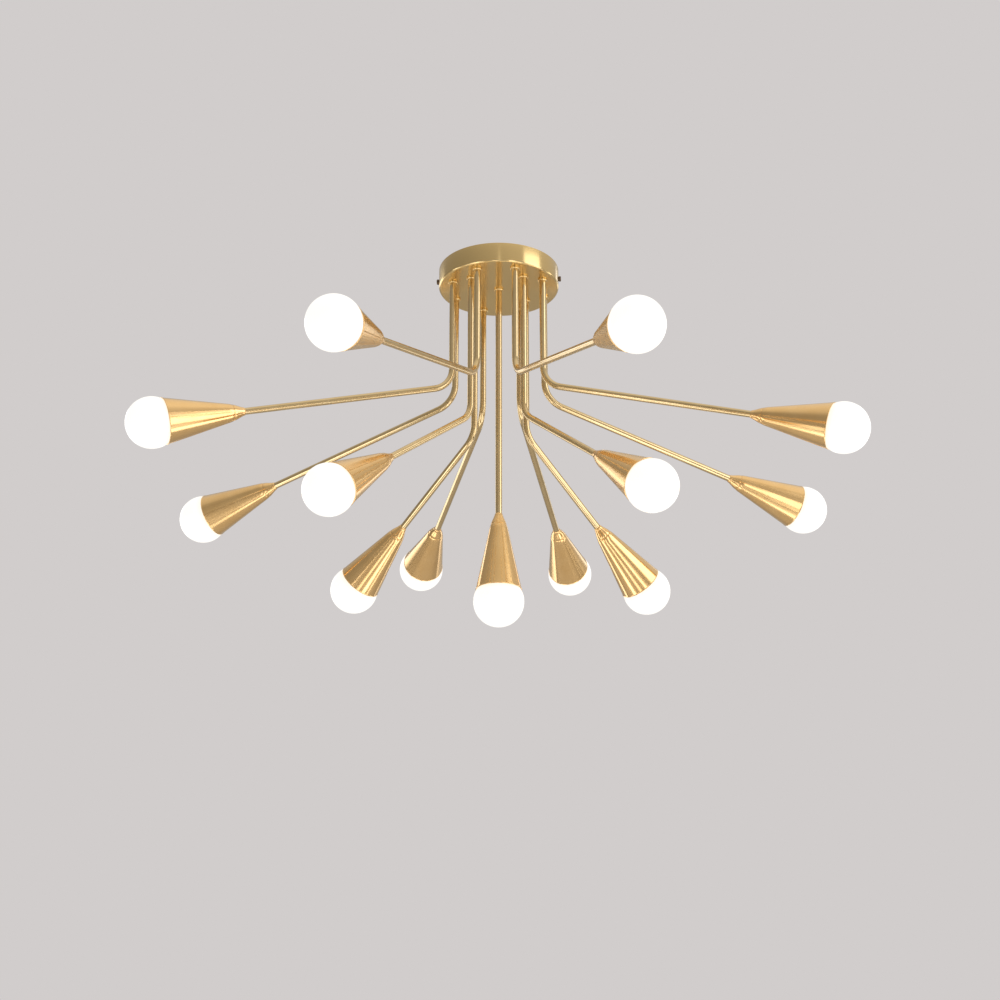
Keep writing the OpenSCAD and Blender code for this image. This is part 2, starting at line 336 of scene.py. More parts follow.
def brass(name, light, dark, rough, grain, stretch=0.0, lines=False):
    """Satin lacquered brass. grain is the scale of its fine brushing, stretch draws the
    highlights out along the piece, and lines makes the brushing run down a cone."""
    m = Nodes(name)
    cloud = m.noise(m.grain((55, 55, 40)), 1.0, 3.0, 0.55)
    if lines:
        around = m.add("ShaderNodeVectorMath", {0: m.grain((1, 1, 0))}, operation="NORMALIZE").outputs[0]
        streak = m.noise(around, 16.0, 1.0, 0.5)
    else:
        streak = m.noise(m.grain(grain), 1.0, 1.0, 0.5)
    tint = m.blend(m.remap(cloud, 0, 1, 0.32, 0.68), dark, light)
    worn = m.blend(m.remap(streak, 0, 0.4, 0.35, 0.75), tint, light)
    m.set(Base_Color=worn, Metallic=1.0, Roughness=m.remap(streak, rough - 0.015, rough + 0.02),
          Coat_Weight=0.45, Coat_Roughness=0.12, Coat_IOR=1.55)
    if stretch:
        m.set(Anisotropic=stretch, Anisotropic_Rotation=0.25)
        m.set(Tangent=m.add("ShaderNodeTangent", direction_type="UV_MAP", uv_map="grain_uv").outputs[0])
    return m.material


def plated(name, colour, rough, mottle=0.12):
    """Zinc or nickel plate with a fine mottled grain."""
    m = Nodes(name)
    spots = m.noise(m.grain((900, 900, 900)), 1.0, 4.0, 0.6)
    darker = tuple(c * (1 - mottle) for c in colour)
    m.set(Base_Color=m.blend(m.remap(spots, 0, 1), darker, colour), Metallic=1.0,
          Roughness=m.remap(spots, rough - 0.05, rough + 0.08))
    m.set(Normal=m.bump(spots, 0.2, 0.02 * MM))
    return m.material


def moulded(name, colour, rough, scale=1400):
    """Moulded plastic with a faint eggshell grain."""
    m = Nodes(name)
    skin = m.noise(m.grain((scale, scale, scale)), 1.0, 2.0, 0.5)
    cloud = m.noise(m.grain((80, 80, 80)), 1.0, 2.0, 0.5)
    darker = tuple(c * 0.93 for c in colour)
    m.set(Base_Color=m.blend(m.remap(cloud, 0, 1), darker, colour),
          Roughness=m.remap(skin, rough - 0.05, rough + 0.05), Specular_IOR_Level=0.5)
    m.set(Normal=m.bump(skin, 0.15, 0.03 * MM))
    return m.material


def opal():
    """Lit opal glass: an even white glow, a little warmer and dimmer towards the housing."""
    m = Nodes("opal_glass")
    source = m.add("ShaderNodeAttribute", attribute_name="grain")
    along = m.add("ShaderNodeSeparateXYZ", {0: source.outputs["Vector"]}).outputs["Z"]
    depth = m.add("ShaderNodeMapRange", {"Value": along, "From Min": CONE_END - 10 * MM,
                                         "From Max": CONE_END + 6 * MM}).outputs["Result"]
    cloud = m.noise(m.grain((45, 45, 45)), 1.0, 2.0, 0.5)
    glow = m.blend(depth, (1.0, 0.80, 0.52), (1.0, 0.975, 0.94))
    milk = m.blend(m.remap(cloud, 0, 1), (0.20, 0.195, 0.185), (0.24, 0.235, 0.225))
    m.set(Base_Color=milk, Roughness=0.22, Coat_Weight=0.3, Coat_Roughness=0.06,
          Emission_Color=glow, Emission_Strength=0.93)
    return m.material


def dark_glass():
    """The black insulating glass between a bulb's screw cap and its contact."""
    m = Nodes("cap_glass")
    swirl = m.noise(m.grain((500, 500, 500)), 1.0, 2.0, 0.5)
    m.set(Base_Color=m.blend(m.remap(swirl, 0, 1), (0.012, 0.012, 0.014), (0.03, 0.03, 0.034)),
          Roughness=0.12, Coat_Weight=0.5, Coat_Roughness=0.05)
    return m.material


def pale_floor():
    """A plain matt studio floor with a very faint cloud in its tone."""
    m = Nodes("studio_floor")
    place = m.add("ShaderNodeTexCoord").outputs["Object"]
    cloud = m.noise(place, 0.8, 2.0, 0.5)
    tone = m.blend(m.remap(cloud, 0, 1), (0.58, 0.565, 0.55), (0.62, 0.605, 0.59))
    m.set(Base_Color=tone, Roughness=0.7)
    return m.material


# Brass colours, light and deep: canopy, tubes and cones. The tubes' brass is the same brass made darker, as
# painted shade for the dimmer surroundings they reflect. The cones' and end caps' brass is made brighter, as
# painted light. The last two lines are brushing scales.
BRASS = (0.87, 0.64, 0.30)
BRASS_DEEP = (0.78, 0.55, 0.225)
# Painted shade: the tube brass, a darker copy of the same brass
SHADED_BRASS = (0.76, 0.58, 0.32)
SHADED_BRASS_DEEP = (0.68, 0.50, 0.25)
# Painted light: the cone and end cap brass, a brighter copy of the same brass
LIT_GOLD = (0.98, 0.65, 0.295)
LIT_GOLD_DEEP = (0.92, 0.585, 0.24)
SPUN = (60, 60, 2600)
DRAWN = (500, 500, 20)
canopy_metal = brass("canopy_brass", BRASS, BRASS_DEEP, 0.21, SPUN, 0.75)
tube_metal = brass("tube_brass", SHADED_BRASS, SHADED_BRASS_DEEP, 0.13, DRAWN, 0.5)
cone_metal = brass("shade_brass", LIT_GOLD, LIT_GOLD_DEEP, 0.17, SPUN, 0.6, True)
cap_metal = brass("cap_brass", LIT_GOLD, LIT_GOLD_DEEP, 0.15, SPUN, 0.3)
nut_metal = brass("collar_brass", BRASS, BRASS_DEEP, 0.20, SPUN, 0.2)
dark_metal = brass("dark_brass", (0.16, 0.10, 0.05), (0.08, 0.05, 0.03), 0.30, SPUN)
zinc = plated("zinc_plate", (0.62, 0.63, 0.65), 0.34)
nickel = plated("nickel_plate", (0.72, 0.70, 0.66), 0.26, 0.06)
holder_plastic = moulded("holder_plastic", (0.82, 0.80, 0.75), 0.42)
housing_plastic = moulded("housing_plastic", (0.86, 0.86, 0.84), 0.35)
block_plastic = moulded("block_plastic", (0.78, 0.77, 0.73), 0.45)
lead_brown = moulded("lead_brown", (0.16, 0.065, 0.03), 0.38)
lead_blue = moulded("lead_blue", (0.03, 0.12, 0.36), 0.38)
lead_sleeve = moulded("lead_sleeve", (0.74, 0.73, 0.70), 0.4)
globe_glass = opal()
black_glass = dark_glass()


# ---- Places, from the frame ----

def lamp_axis(name):
    """The direction in which a shade points, which is the way its bulb comes out."""
    return Vector(JOINTS["bulb_unscrew_" + name]["axis"]).normalized()


def lamp_place(name):
    """The matrix whose +Z runs along a shade from the start of its end cap."""
    turn = UP.rotation_difference(lamp_axis(name)).to_matrix()
    points = [turn.transposed() @ v.co for v in frame["nodes"]["shade_" + name].data.vertices]
    low = Vector([min(p[i] for p in points) for i in range(3)])
    high = Vector([max(p[i] for p in points) for i in range(3)])
    start = turn @ Vector(((low.x + high.x) / 2, (low.y + high.y) / 2, high.z - CONE_END))
    return Matrix.Translation(start) @ turn.to_4x4()


def hole_of(name):
    """The middle of an arm's hole at the underside of the canopy."""
    if name == "centre":
        return Vector((0, 0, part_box("canopy_cover")[0].z))
    return Vector(JOINTS["arm_swivel_" + name]["pos_m"])


def body_of_lamp(name):
    """The body that a lamp's tube, shade and lampholder belong to."""
    return "canopy" if name == "centre" else "arm_" + name


PLACES = {name: lamp_place(name) for name in LAMPS}
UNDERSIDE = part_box("canopy_cover")[0].z
CANOPY_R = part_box("canopy_cover")[1].x
HEAD_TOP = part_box("centre_stem")[1].z


def run_of(name, past, top):
    """The middle line of a tube: down from its top, round the bend and on into the shade."""
    hole = hole_of(name)
    place = PLACES[name]
    end = place @ Vector((0, 0, past))
    start = Vector((hole.x, hole.y, top))
    if name == "centre":
        return [start, end]
    axis = lamp_axis(name)
    flat = math.hypot(axis.x, axis.y)
    shade = place.translation
    reach = math.hypot(shade.x - hole.x, shade.y - hole.y) / flat
    corner = shade - axis * reach
    turn = axis.angle(-UP)
    tangent = BEND_R * math.tan(turn / 2)
    outward = Vector((axis.x, axis.y, 0)).normalized()
    centre = corner + UP * tangent + outward * BEND_R
    path = [start]
    steps = 24
    for i in range(steps + 1):
        angle = turn * i / steps
        path.append(centre - outward * BEND_R * math.cos(angle) - UP * BEND_R * math.sin(angle))
    path.append(end)
    return path


# ---- Canopy ----

def canopy_cover():
    """The spun canopy, with a rolled lower edge and a folded rim at the ceiling."""
    wall = 1 * MM
    roll = 2.5 * MM
    rim = 0.4 * MM
    halfway = -12 * MM
    inner = CANOPY_R - wall
    profile = [(0, UNDERSIDE), (20 * MM, UNDERSIDE), (40 * MM, UNDERSIDE)]
    profile += arc((CANOPY_R - roll, UNDERSIDE + roll), roll, -90, 0, 10)
    profile += [(CANOPY_R, halfway)]
    profile += arc((CANOPY_R - rim, -rim), rim, 0, 90, 4)
    profile += [(inner, 0), (inner, halfway)]
    profile += arc((inner - roll + wall, UNDERSIDE + roll), roll - wall, 0, -90, 8)
    profile += [(40 * MM, UNDERSIDE + wall), (0, UNDERSIDE + wall)]
    cover = turned("canopy_shell", profile, canopy_metal, steps=288)
    cutters = []
    for name in LAMPS:
        hole = hole_of(name)
        place = Matrix.Translation((hole.x, hole.y, UNDERSIDE - 2 * MM))
        cutters.append(rod("cut_" + name, HOLE_R, 5 * MM, place, 48))
    for side, axis in (("left", -1), ("right", 1)):
        turn = Matrix.Rotation(math.radians(90 * axis), 4, "Y")
        place = Matrix.Translation((axis * (CANOPY_R - 4 * MM), 0, screw_height(side))) @ turn
        cutters.append(rod("cut_" + side, 2 * MM, 8 * MM, place, 32))
    drilled(cover, cutters)
    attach(cover, "canopy")
    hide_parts("canopy_cover")


def rod(name, radius, length, place, steps):
    """A plain round cutter."""
    return turned(name, [(0, 0), (radius, 0), (radius, length), (0, length)], canopy_metal, place, steps)


def screw_height(side):
    """The height of a side screw's axis."""
    low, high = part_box("side_screw_" + side)
    return (low.z + high.z) / 2


def side_screw(side, axis):
    """A small round-headed screw with a knurled rim and a driver slot."""
    low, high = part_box("side_screw_" + side)
    head_l = 3 * MM
    head_r = (high.z - low.z) / 2
    shank_r = 1.95 * MM
    length = high.x - low.x
    base = length - head_l

    ridges, ridge_depth = 28, 0.12 * MM
    pitch, thread_depth, point_l = 0.7 * MM, 0.35 * MM, 0.6 * MM
    dome = 1 * MM

    def knurl(angle, radius, height):
        if radius < head_r * 0.95 or not base + 0.5 * MM < height < base + 2.2 * MM:
            return 0
        return -ridge_depth * (1 + math.cos(angle * ridges)) / 2

    profile = [(0, 0), (shank_r - 0.5 * MM, 0), (shank_r, point_l)]
    for i in range(int((base - 2 * point_l) / pitch)):
        z = point_l + pitch * i
        profile += [(shank_r, z + 0.15 * MM), (shank_r - thread_depth, z + 0.5 * pitch)]
    profile += [(shank_r, base - 0.2 * MM), (shank_r, base), (head_r - 0.3 * MM, base)]
    profile += [(head_r, base + step * MM) for step in (0.3, 0.6, 1.2, 1.9)]
    profile += arc((head_r - dome, length - dome), dome, 0, 75, 6)
    profile += [(1.2 * MM, length - 0.05 * MM), (0, length)]
    turn = Matrix.Rotation(math.radians(90 * axis), 4, "Y")
    tip_x = low.x if axis > 0 else high.x
    place = Matrix.Translation((tip_x, 0, screw_height(side))) @ turn
    screw = turned("screw_" + side, profile, dark_metal, place, 112, wave=knurl)
    slot = bar("slot_" + side, (2 * head_r + 2 * MM, 0.8 * MM, 2 * MM), dark_metal,
               place @ Matrix.Translation((0, 0, length)))
    drilled(screw, [slot])
    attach(screw, "screw_" + side)
    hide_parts("side_screw_" + side)


def bar(name, size, material, place):
    """A box-shaped cutter about its middle."""
    mesh = bmesh.new()
    bmesh.ops.create_cube(mesh, size=1)
    bmesh.ops.scale(mesh, vec=size, verts=mesh.verts)
    mesh.verts.ensure_lookup_table()
    verts = [v.co.copy() for v in mesh.verts]
    faces = [[v.index for v in f.verts] for f in mesh.faces]
    mesh.free()
    uvs = [(0.25 + v.x, v.y) for v in verts]
    return finished(name, verts, faces, verts, uvs, material, place, 35)


def collars():
    """The collar under the plate round each tube, with eased edges."""
    made = []
    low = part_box("arm_collars")[0].z
    profile = eased([(HOLE_R, 0), (COLLAR_R - 0.7 * MM, 0), (COLLAR_R, 0.7 * MM),
                     (COLLAR_R, COLLAR_H), (HOLE_R, COLLAR_H)], 0.25 * MM)
    for name in LAMPS:
        hole = hole_of(name)
        place = Matrix.Translation((hole.x, hole.y, low))
        made.append(turned("collar_" + name, profile, nut_metal, place, 64))
    group = joined("arm_collar_rings", made)
    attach(group, "canopy")
    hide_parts("arm_collars")


def hex_nut(name, flat_r, bore, height, material, place):
    """A hexagon nut with both faces chamfered."""
    steps = 96
    ease = 0.4 * MM
    face_r = flat_r * 0.97

    def profile(angle):
        off = (angle + math.pi / 6) % (math.pi / 3) - math.pi / 6
        edge = flat_r / math.cos(off)
        drop = max(0.0, edge - face_r) * math.tan(math.radians(30))
        return [(bore, ease), (bore + ease, 0.0), (face_r, 0.0), (edge, drop), (edge, height - drop),
                (face_r, height), (bore + ease, height), (bore, height - ease)]

    verts, uvs, faces = [], [], []
    count = len(profile(0))
    for i in range(count):
        for step in range(steps):
            angle = TURN * step / steps
            r, z = profile(angle)[i]
            verts.append((r * math.cos(angle), r * math.sin(angle), z))
            uvs.append((step / steps, i * 0.01))
    for i in range(count):
        for step in range(steps):
            a = i * steps + step
            b = i * steps + (step + 1) % steps
            c = ((i + 1) % count) * steps
            faces.append((a, b, c + (step + 1) % steps, c + step))
    return finished(name, verts, faces, verts, uvs, material, place, 25)


def locknuts():
    """The hexagon nut above the plate on each tube."""
    low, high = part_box("arm_locknuts")
    made = []
    for name in LAMPS:
        hole = hole_of(name)
        place = Matrix.Translation((hole.x, hole.y, low.z))
        made.append(hex_nut("nut_" + name, 6.2 * MM, HOLE_R, high.z - low.z, zinc, place))
    group = joined("arm_hex_nuts", made)
    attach(group, "canopy")
    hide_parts("arm_locknuts")


def softened(node, name, edge, materials):
    """The shape of a CAD node with every hard edge eased, the first material on its biggest solid."""
    mesh = bmesh.new()
    mesh.from_mesh(frame["nodes"][node].data)
    bmesh.ops.remove_doubles(mesh, verts=mesh.verts, dist=0.001 * MM)
    bmesh.ops.dissolve_limit(mesh, angle_limit=math.radians(1), verts=mesh.verts, edges=mesh.edges)
    hard = [e for e in mesh.edges if len(e.link_faces) == 2 and e.calc_face_angle() > math.radians(40)]
    bmesh.ops.bevel(mesh, geom=hard, offset=edge, segments=2, affect="EDGES", profile=0.5, clamp_overlap=True)
    mesh.faces.ensure_lookup_table()
    mesh.verts.index_update()
    groups, seen = [], set()
    for face in mesh.faces:
        if face.index in seen:
            continue
        group, front = [], [face]
        seen.add(face.index)
        while front:
            here = front.pop()
            group.append(here.index)
            for side in here.edges:
                for other in side.link_faces:
                    if other.index not in seen:
                        seen.add(other.index)
                        front.append(other)
        groups.append(group)
    groups.sort(key=lambda group: -sum(mesh.faces[i].calc_area() for i in group))
    verts = [v.co.copy() for v in mesh.verts]
    faces = [[v.index for v in f.verts] for f in mesh.faces]
    mesh.free()
    piece = finished(name, verts, faces, verts, [(0.25 + v.x, v.y) for v in verts], materials[0])
    for material in materials[1:]:
        piece.data.materials.append(material)
    for number, group in enumerate(groups):
        for index in group:
            piece.data.polygons[index].material_index = min(number, len(materials) - 1)
    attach(piece, "canopy")
    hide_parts(node)
    return piece


def quarter_bend(corner, way, radius):
    """Points round a bend from straight up into a level direction, just below a corner."""
    points = []
    for i in range(9):
        angle = math.radians(90 * i / 8)
        points.append(corner + way * radius * (1 - math.cos(angle)) + UP * radius * (math.sin(angle) - 1))
    return points


def lamp_leads(name):
    """The brown and the blue lead of one lamp, from its tube to the ring bundle."""
    hole = hole_of(name)
    from_axis = math.hypot(hole.x, hole.y)
    out = Vector((1, 0, 0)) if name == "centre" else Vector((hole.x, hole.y, 0)).normalized()
    way = out if from_axis < BUNDLE_RING else -out
    side = UP.cross(out)
    bend = 2 * MM
    made = []
    for sign, material in ((-1, lead_brown), (1, lead_blue)):
        foot = Vector((hole.x, hole.y, HEAD_TOP + 0.5 * MM)) + side * sign * 0.75 * MM
        corner = Vector((foot.x, foot.y, BUNDLE_Z))
        path = [foot, foot * 0.5 + (corner - UP * bend) * 0.5]
        path += quarter_bend(corner, way, bend)
        path.append(corner + way * abs(BUNDLE_RING - from_axis))
        radii = [0.7 * MM] * len(path)
        made.append(swept("lead_%s_%d" % (name, sign), path, radii, material, 14))
    return made


def bundle_strand(number, material):
    """One of the six strands that twist round the ring, and its short riser to the terminal block."""
    twists, twist_r, riser_r = 9, 1.7 * MM, 1.3 * MM
    path = []
    for i in range(361):
        turn = TURN * i / 360
        twist = twists * turn + TURN * number / 6
        r = BUNDLE_RING + twist_r * math.cos(twist)
        path.append(Vector((r * math.cos(turn), r * math.sin(turn), BUNDLE_Z + twist_r * math.sin(twist))))
    strand = swept("bundle_%d" % number, path, [0.8 * MM] * len(path), material, 12)
    foot = Vector((BUNDLE_RING + riser_r * math.cos(number), riser_r * math.sin(number), BUNDLE_Z))
    riser = swept("riser_%d" % number, [foot, foot + UP * 3 * MM], [0.6 * MM] * 2, material, 12)
    return [strand, riser]


def lead_ties():
    """Seven narrow bands that hold the ring bundle together."""
    band = [(2.42 * MM, -0.9 * MM), (2.58 * MM, -0.9 * MM), (2.58 * MM, 0.9 * MM), (2.42 * MM, 0.9 * MM)]
    ties = []
    for number in range(7):
        turn = TURN * (number + 0.35) / 7
        spot = (BUNDLE_RING * math.cos(turn), BUNDLE_RING * math.sin(turn), BUNDLE_Z)
        place = (Matrix.Translation(spot) @ Matrix.Rotation(turn, 4, "Z")
                 @ Matrix.Rotation(math.radians(90), 4, "X"))
        ties.append(turned("tie_%d" % number, eased(band, 0.05 * MM), housing_plastic, place, 32))
    group = joined("lead_ties", ties)
    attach(group, "canopy")


def inner_parts():
    """What the canopy hides: the ceiling bracket, the terminal block and the leads from every tube."""
    softened("mounting_bracket", "ceiling_bracket", 0.25 * MM, [zinc])
    softened("terminal_block", "terminals", 0.2 * MM, [block_plastic, zinc])
    leads = {lead_brown: [], lead_blue: []}
    for name in LAMPS:
        brown, blue = lamp_leads(name)
        leads[lead_brown].append(brown)
        leads[lead_blue].append(blue)
    for number in range(6):
        material = lead_brown if number % 2 else lead_blue
        leads[material] += bundle_strand(number, material)
    for label, material in (("brown", lead_brown), ("blue", lead_blue)):
        group = joined("leads_" + label, leads[material])
        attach(group, "canopy")
        if label == "brown":
            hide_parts("canopy_wiring")
    lead_ties()


# ---- Arms ----

def tube(name):
    """A bent or straight tube with the head that keeps it in the canopy."""
    node = "centre_stem" if name == "centre" else "arm_tube_" + name
    head_z = HEAD_TOP - HEAD_H
    ease = 0.15 * MM
    path = run_of(name, TUBE_END, HEAD_TOP)
    top = path[0]
    head = [top, top - UP * ease, Vector((top.x, top.y, head_z + ease)),
            Vector((top.x, top.y, head_z)), Vector((top.x, top.y, head_z - 0.02 * MM))]
    radii = [HEAD_R - ease, HEAD_R, HEAD_R, HEAD_R - ease, TUBE_R] + [TUBE_R] * (len(path) - 1)
    piece = swept("tube_" + name, head + path[1:], radii, tube_metal, 48, BORE_R)
    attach(piece, body_of_lamp(name))
    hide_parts(node)


def end_cap_profile():
    """The end cap: a short foot on the tube, a fillet, a slope and a rounded edge at the cone."""
    foot_l, slope_l, fillet = 2 * MM, 6 * MM, 8 * MM
    start, flare, edge = 8.5, 23, 12
    middle = polar((TUBE_R + 1.1 * MM, 0), fillet, -start)
    end = polar(middle, fillet, 180 - flare)
    slope = (end[0] + slope_l * math.tan(math.radians(flare)), end[1] + slope_l)
    top = CAP_L - 0.05 * MM
    round_r = (top - slope[1]) / (math.sin(math.radians(flare)) - math.sin(math.radians(edge)))
    round_c = polar(slope, round_r, 180 - flare)
    foot = [(HOLE_R, -foot_l + 0.1 * MM), (HOLE_R + 0.1 * MM, -foot_l), (TUBE_R + 0.25 * MM, -foot_l),
            (TUBE_R + 0.36 * MM, -foot_l + 0.12 * MM)]
    rim = [(9.42 * MM, top - 0.2 * MM), (9.2 * MM, top), (HOLE_R, top)]
    return (foot + arc(middle, fillet, 180 - start, 180 - flare, 8)
            + arc(round_c, round_r, -flare, -edge - 1.5, 12) + rim)


def cone_profile():
    """The spun cone: a soft shoulder at the neck, straight sides and a rolled bead at the mouth."""
    bead = 0.5 * MM
    mid = (NECK_R + 1.25 * MM, CAP_L + 4 * MM)
    shoulder = (NECK_R + 1.9 * MM, CAP_L + 7 * MM)

    def side(t, inset=0.0):
        return (shoulder[0] + (MOUTH_R - shoulder[0]) * t - inset, shoulder[1] + (CONE_END - shoulder[1]) * t)

    # The rings just before the lip keep the bead's rounding out of the straight side's shading
    lip = 1 - 2 * bead / (CONE_END - shoulder[1])
    points = [(HOLE_R, CAP_L), (NECK_R - 0.35 * MM, CAP_L), (NECK_R - 0.1 * MM, CAP_L + 0.1 * MM),
              (NECK_R + 0.05 * MM, CAP_L + 0.35 * MM), (NECK_R + 0.7 * MM, CAP_L + 2.1 * MM), mid,
              (NECK_R + 1.62 * MM, CAP_L + 5.6 * MM), shoulder]
    points += [side(t / 6) for t in range(1, 6)] + [side(lip - 0.02), side(lip - 0.004), side(lip)]
    points += arc((MOUTH_R - SHEET / 2, CONE_END - bead), bead, -10, 190, 12)
    points += [side(t / 6, SHEET) for t in range(5, -1, -1)]
    points += [(mid[0] - SHEET, mid[1]), (NECK_R - SHEET, CAP_L + SHEET), (HOLE_R, CAP_L + SHEET)]
    return points


def drawn_lines(angle, radius, height):
    """Faint lines that run straight down a cone from its shoulder to its mouth."""
    if height < CAP_L + 7.1 * MM:
        return 0
    depth = 0.25 * MM * radius / MOUTH_R
    waves = math.cos(5 * angle) + math.cos(8 * angle + 1) + math.cos(13 * angle + 2)
    return -depth * (3 + waves) / 6


def shade(name):
    """The end cap and the spun cone of one lamp."""
    cap = turned("end_cap_" + name, end_cap_profile(), cap_metal, PLACES[name], 112)
    cone = turned("cone_" + name, cone_profile(), cone_metal, PLACES[name], 256, wave=drawn_lines)
    for piece in (cap, cone):
        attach(piece, body_of_lamp(name))
    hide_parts("shade_" + name)


def thread(depth, pitch, start, end):
    """A wave that winds a rounded thread round a shell between two heights."""
    def push(angle, radius, height):
        if not start < height < end:
            return 0
        fade = min(1.0, (height - start) / pitch, (end - height) / pitch)
        return -depth * fade * (1 + math.cos(angle + TURN * height / pitch)) / 2
    return push


def rows(low, high, step):
    """Even heights from low to high, about one step apart."""
    count = max(2, int(round((high - low) / step)))
    return [low + (high - low) * i / count for i in range(count + 1)]


def holder_body(name, place):
    """The ribbed insulator, with its neck round the tube and a floor under the contact."""
    start, body, end = 16 * MM, 35 * MM, 64 * MM
    seat, neck, ease = 7.72 * MM, 7 * MM, 0.4 * MM
    groove = HOLDER_R - 0.5 * MM

    def ribs(angle, radius, height):
        if radius < HOLDER_R * 0.98 or not body + 2 * MM < height < end - 8 * MM:
            return 0
        return -0.35 * MM * (1 if math.cos(angle * 20) > 0.2 else 0)

    outside = [(4.1 * MM, start), (neck - ease, start), (neck, start + ease), (neck, body - 5 * MM),
               (groove, body - ease), (HOLDER_R, body), (HOLDER_R, body + 1.9 * MM),
               (HOLDER_R, body + 2.1 * MM), (HOLDER_R, end - 8.1 * MM), (HOLDER_R, end - 7.9 * MM),
               (HOLDER_R, end - 3 * MM), (groove, end - 2.8 * MM), (groove, end - 2.2 * MM),
               (HOLDER_R, end - 2 * MM), (HOLDER_R, end - ease), (HOLDER_R - ease, end)]
    inside = [(seat + ease, end), (seat, end - ease), (seat, 44 * MM), (1.7 * MM, 44 * MM),
              (1.7 * MM, 40 * MM), (5.5 * MM, 40 * MM), (5.5 * MM, TUBE_END + 2 * MM),
              (4.1 * MM, TUBE_END + 2 * MM)]
    return turned("holder_body_" + name, outside + inside, holder_plastic, place, 120, wave=ribs, sharp=30)


def holder_shell(name, place):
    """The threaded screw shell of the holder."""
    outer = [(7.62 * MM, z) for z in rows(45 * MM, 62 * MM, 0.5 * MM)]
    inner = [(7.34 * MM, z) for z in reversed(rows(45 * MM, 62 * MM, 0.5 * MM))]
    floor = [(4.2 * MM, 44.5 * MM), (7.4 * MM, 44.5 * MM)]
    floor_top = [(7.1 * MM, 44.9 * MM), (4.2 * MM, 44.9 * MM)]
    wave = thread(0.25 * MM, E14_PITCH, 46 * MM, 60 * MM)
    return turned("holder_shell_" + name, floor + outer + inner + floor_top, nickel, place, 64,
                  wave=wave, sharp=60)


def lampholder(name):
    """The E14 holder in a shade: insulator, threaded shell, contact, clamp nut and cord."""
    place = PLACES[name]
    insulator = holder_body(name, place)
    shell = holder_shell(name, place)
    pin = eased([(0, 37 * MM), (1.6 * MM, 37 * MM), (1.6 * MM, 45.8 * MM), (2.6 * MM, 45.8 * MM),
                 (2.6 * MM, 46.8 * MM), (0, 46.8 * MM)], 0.2 * MM)
    contact = turned("holder_contact_" + name, pin, nickel, place, 32)
    nut_place = place @ Matrix.Translation((0, 0, CAP_L + SHEET + 0.05 * MM))
    nut = hex_nut("holder_nut_" + name, 6.2 * MM, HOLE_R, 3.2 * MM, zinc, nut_place)
    holder = joined("holder_" + name, [insulator, shell, contact, nut])
    path = run_of(name, CORD_END, HEAD_TOP)
    cord = swept("cord_" + name, path, [CORD_R] * len(path), lead_sleeve, 20)
    for piece in (holder, cord):
        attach(piece, body_of_lamp(name))
    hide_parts("lampholder_" + name)


# ---- Bulbs ----

def bulb(name):
    """Opal globe, plastic housing, light board, threaded cap, black glass and solder tip."""
    place = PLACES[name]
    cut = GLOBE_S - math.sqrt(GLOBE_R ** 2 - HOUSING_R ** 2)
    base, tip = 64.6 * MM, 47.2 * MM
    gap = 0.06 * MM
    open_angle = math.degrees(math.asin(HOUSING_R / GLOBE_R))
    inner_r = GLOBE_R - GLOBE_WALL
    inner_angle = math.degrees(math.acos((GLOBE_S - cut) / inner_r))
    profile = arc((0, GLOBE_S), GLOBE_R, -90 + open_angle, 90, 72)
    profile += arc((0, GLOBE_S), inner_r, 90, -90 + inner_angle, 36)
    profile = [(max(r, 0.0), z) for r, z in profile]
    globe = turned("globe_" + name, profile, globe_glass, place, 96)

    profile = [(0, base), (8.6 * MM, base), (9.4 * MM, base + 1.5 * MM), (9.9 * MM, base + 4 * MM),
               (HOUSING_R - 0.3 * MM, cut - 1.2 * MM), (HOUSING_R, cut - gap), (0, cut - gap)]
    housing = turned("bulb_housing_" + name, eased(profile, 0.4 * MM), housing_plastic, place, 96)
    profile = [(0, cut), (8 * MM, cut), (8 * MM, cut + 1.6 * MM), (0, cut + 1.6 * MM)]
    board = turned("bulb_board_" + name, profile, housing_plastic, place, 48)

    profile = [(0, tip + 3.2 * MM), (5.6 * MM, tip + 3.2 * MM), (6.4 * MM, tip + 3.6 * MM)]
    profile += [(6.95 * MM, z) for z in rows(tip + 4.4 * MM, base - gap, 0.45 * MM)]
    profile += [(0, base - gap)]
    wave = thread(0.5 * MM, E14_PITCH, tip + 4.6 * MM, base - 1.2 * MM)
    cap = turned("bulb_cap_" + name, profile, nickel, place, 72, wave=wave, sharp=60)

    profile = [(0, tip + 0.9 * MM), (2.6 * MM, tip + 0.9 * MM), (3.1 * MM, tip + 1.2 * MM),
               (5.2 * MM, tip + 3.15 * MM), (0, tip + 3.15 * MM)]
    glass = turned("bulb_glass_" + name, profile, black_glass, place, 48)
    profile = [(0, tip)] + arc((0, tip + 2.6 * MM), 2.6 * MM, -80, -40, 6)
    profile += [(2.1 * MM, tip + 0.86 * MM), (0, tip + 0.86 * MM)]
    solder = turned("bulb_tip_" + name, profile, nickel, place, 32)

    base_part = joined("bulb_base_" + name, [housing, board, cap, glass, solder])
    for piece in (globe, base_part):
        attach(piece, "lamp_" + name)
    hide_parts("bulb_" + name)


# ---- Studio ----

